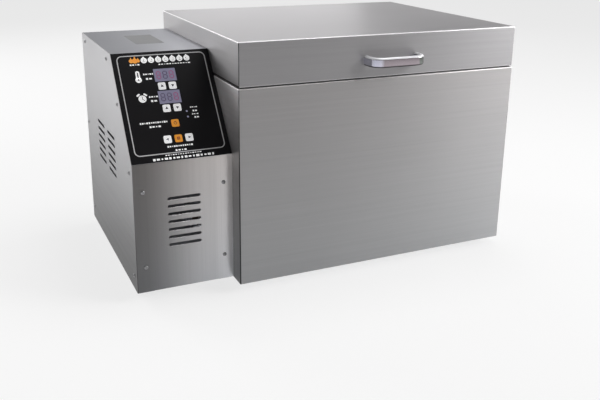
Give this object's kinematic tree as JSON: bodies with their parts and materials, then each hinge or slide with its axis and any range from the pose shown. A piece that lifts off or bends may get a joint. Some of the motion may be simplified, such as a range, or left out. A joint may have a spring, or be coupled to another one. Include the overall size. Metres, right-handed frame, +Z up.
{
  "type": "chestnut roaster machine",
  "caption": "Tabletop electric drum roaster: insulated stainless cabinet with a hinged lid, a slotted turning drum over tubular heaters, and a side control housing with a sloped key panel.",
  "frame": {"origin": "on the floor, under the middle of the whole machine's box", "axes": "+Z up, -Y towards the user at the front, +X to the user's right; the control housing is on the -X side"},
  "size_m": [0.7879, 0.5478, 0.477],
  "materials": {
    "brushed_stainless": "brushed sheet, fine parallel grain",
    "liner_steel": "mill finish, dull",
    "drum_steel": "mill finish, heat-tinted",
    "zinc_plate": "zinc plated",
    "screw_steel": "bright nickel",
    "chrome_bar": "polished chrome",
    "bearing_iron": "machined",
    "bronze": "sintered",
    "heater_sheath": "oxidised sheath",
    "mineral_wool": "matt fibre",
    "foot_rubber": "matt",
    "gasket_rubber": "matt silicone",
    "panel_film": "satin printed film",
    "display_window": "clear tinted window",
    "lamp_lens": "diffusing lens",
    "circuit_board": "solder mask",
    "gearbox_paint": "satin paint",
    "motor_casting": "cast",
    "white_moulding": "moulded",
    "black_moulding": "moulded",
    "key_white": "satin",
    "key_orange": "satin"
  },
  "bodies": {
    "cabinet": {"cabinet_wrap": "brushed_stainless", "back_panel": "brushed_stainless", "back_panel_screws": "screw_steel", "base_plate": "zinc_plate", "chamber_liner": "liner_steel", "insulation": "mineral_wool", "heater_tubes": "heater_sheath", "heater_terminals": "zinc_plate", "heater_supports": "liner_steel", "journal_cradle": "bearing_iron", "cradle_screws": "screw_steel", "shaft_bushing": "bronze", "temperature_probe": "liner_steel", "feet": "foot_rubber", "foot_screws": "screw_steel", "cabinet_hinge_leaves": "zinc_plate", "hinge_pins": "zinc_plate", "control_housing": "brushed_stainless", "side_panel": "brushed_stainless", "front_plate": "brushed_stainless", "housing_screws": "screw_steel", "panel_overlay": "panel_film", "display_windows": "display_window", "display_modules": "black_moulding", "indicator_lamps": "lamp_lens", "control_board": "circuit_board", "board_standoffs": "zinc_plate", "gearbox": "gearbox_paint", "drive_motor": "motor_casting", "gearbox_spacers": "screw_steel", "gearbox_bolts": "screw_steel", "run_capacitor": "white_moulding", "heater_relay": "black_moulding", "terminal_block": "black_moulding", "cable_gland": "black_moulding", "gland_locknut": "black_moulding"},
    "lid": {"lid_shell": "brushed_stainless", "lid_pan": "liner_steel", "lid_insulation": "mineral_wool", "lid_gasket": "gasket_rubber", "lid_handle": "chrome_bar", "handle_screws": "screw_steel", "lid_hinge_leaves": "zinc_plate", "lid_hinge_screws": "screw_steel"},
    "drum": {"drive_shaft": "zinc_plate", "drive_coupling": "zinc_plate", "drum_shell": "drum_steel", "drum_drive_end": "drum_steel", "drum_journal_end": "drum_steel", "drum_flights": "drum_steel", "hatch_rails": "drum_steel"},
    "hatch": {"drum_hatch": "drum_steel"},
    "key_temperature_up": {"key_temperature_up": "key_white"},
    "key_temperature_down": {"key_temperature_down": "key_white"},
    "key_time_up": {"key_time_up": "key_white"},
    "key_time_down": {"key_time_down": "key_white"},
    "key_heat": {"key_heat": "key_orange"},
    "key_forward": {"key_forward": "key_white"},
    "key_stop": {"key_stop": "key_orange"},
    "key_reverse": {"key_reverse": "key_white"}
  },
  "joints": [
    {"name": "lid_hinge", "type": "hinge", "parent": "cabinet", "child": "lid", "pos_m": [0.094, 0.25957, 0.395], "axis": [-1, 0, 0], "range_deg": [0, 100]},
    {"name": "drum_spin", "type": "hinge", "parent": "cabinet", "child": "drum", "pos_m": [0.094, 0.00907, 0.23], "axis": [1, 0, 0], "continuous": true},
    {"name": "hatch_slide", "type": "slide", "parent": "drum", "child": "hatch", "axis": [1, 0, 0], "range_m": [0, 0.186]},
    {"name": "press_temperature_up", "type": "slide", "parent": "cabinet", "child": "key_temperature_up", "axis": [0, 0.7956, -0.6058], "range_m": [0, 0.0005], "stiffness_N_per_m": 300},
    {"name": "press_temperature_down", "type": "slide", "parent": "cabinet", "child": "key_temperature_down", "axis": [0, 0.7956, -0.6058], "range_m": [0, 0.0005], "stiffness_N_per_m": 300},
    {"name": "press_time_up", "type": "slide", "parent": "cabinet", "child": "key_time_up", "axis": [0, 0.7956, -0.6058], "range_m": [0, 0.0005], "stiffness_N_per_m": 300},
    {"name": "press_time_down", "type": "slide", "parent": "cabinet", "child": "key_time_down", "axis": [0, 0.7956, -0.6058], "range_m": [0, 0.0005], "stiffness_N_per_m": 300},
    {"name": "press_heat", "type": "slide", "parent": "cabinet", "child": "key_heat", "axis": [0, 0.7956, -0.6058], "range_m": [0, 0.0005], "stiffness_N_per_m": 300},
    {"name": "press_forward", "type": "slide", "parent": "cabinet", "child": "key_forward", "axis": [0, 0.7956, -0.6058], "range_m": [0, 0.0005], "stiffness_N_per_m": 300},
    {"name": "press_stop", "type": "slide", "parent": "cabinet", "child": "key_stop", "axis": [0, 0.7956, -0.6058], "range_m": [0, 0.0005], "stiffness_N_per_m": 300},
    {"name": "press_reverse", "type": "slide", "parent": "cabinet", "child": "key_reverse", "axis": [0, 0.7956, -0.6058], "range_m": [0, 0.0005], "stiffness_N_per_m": 300}
  ]
}
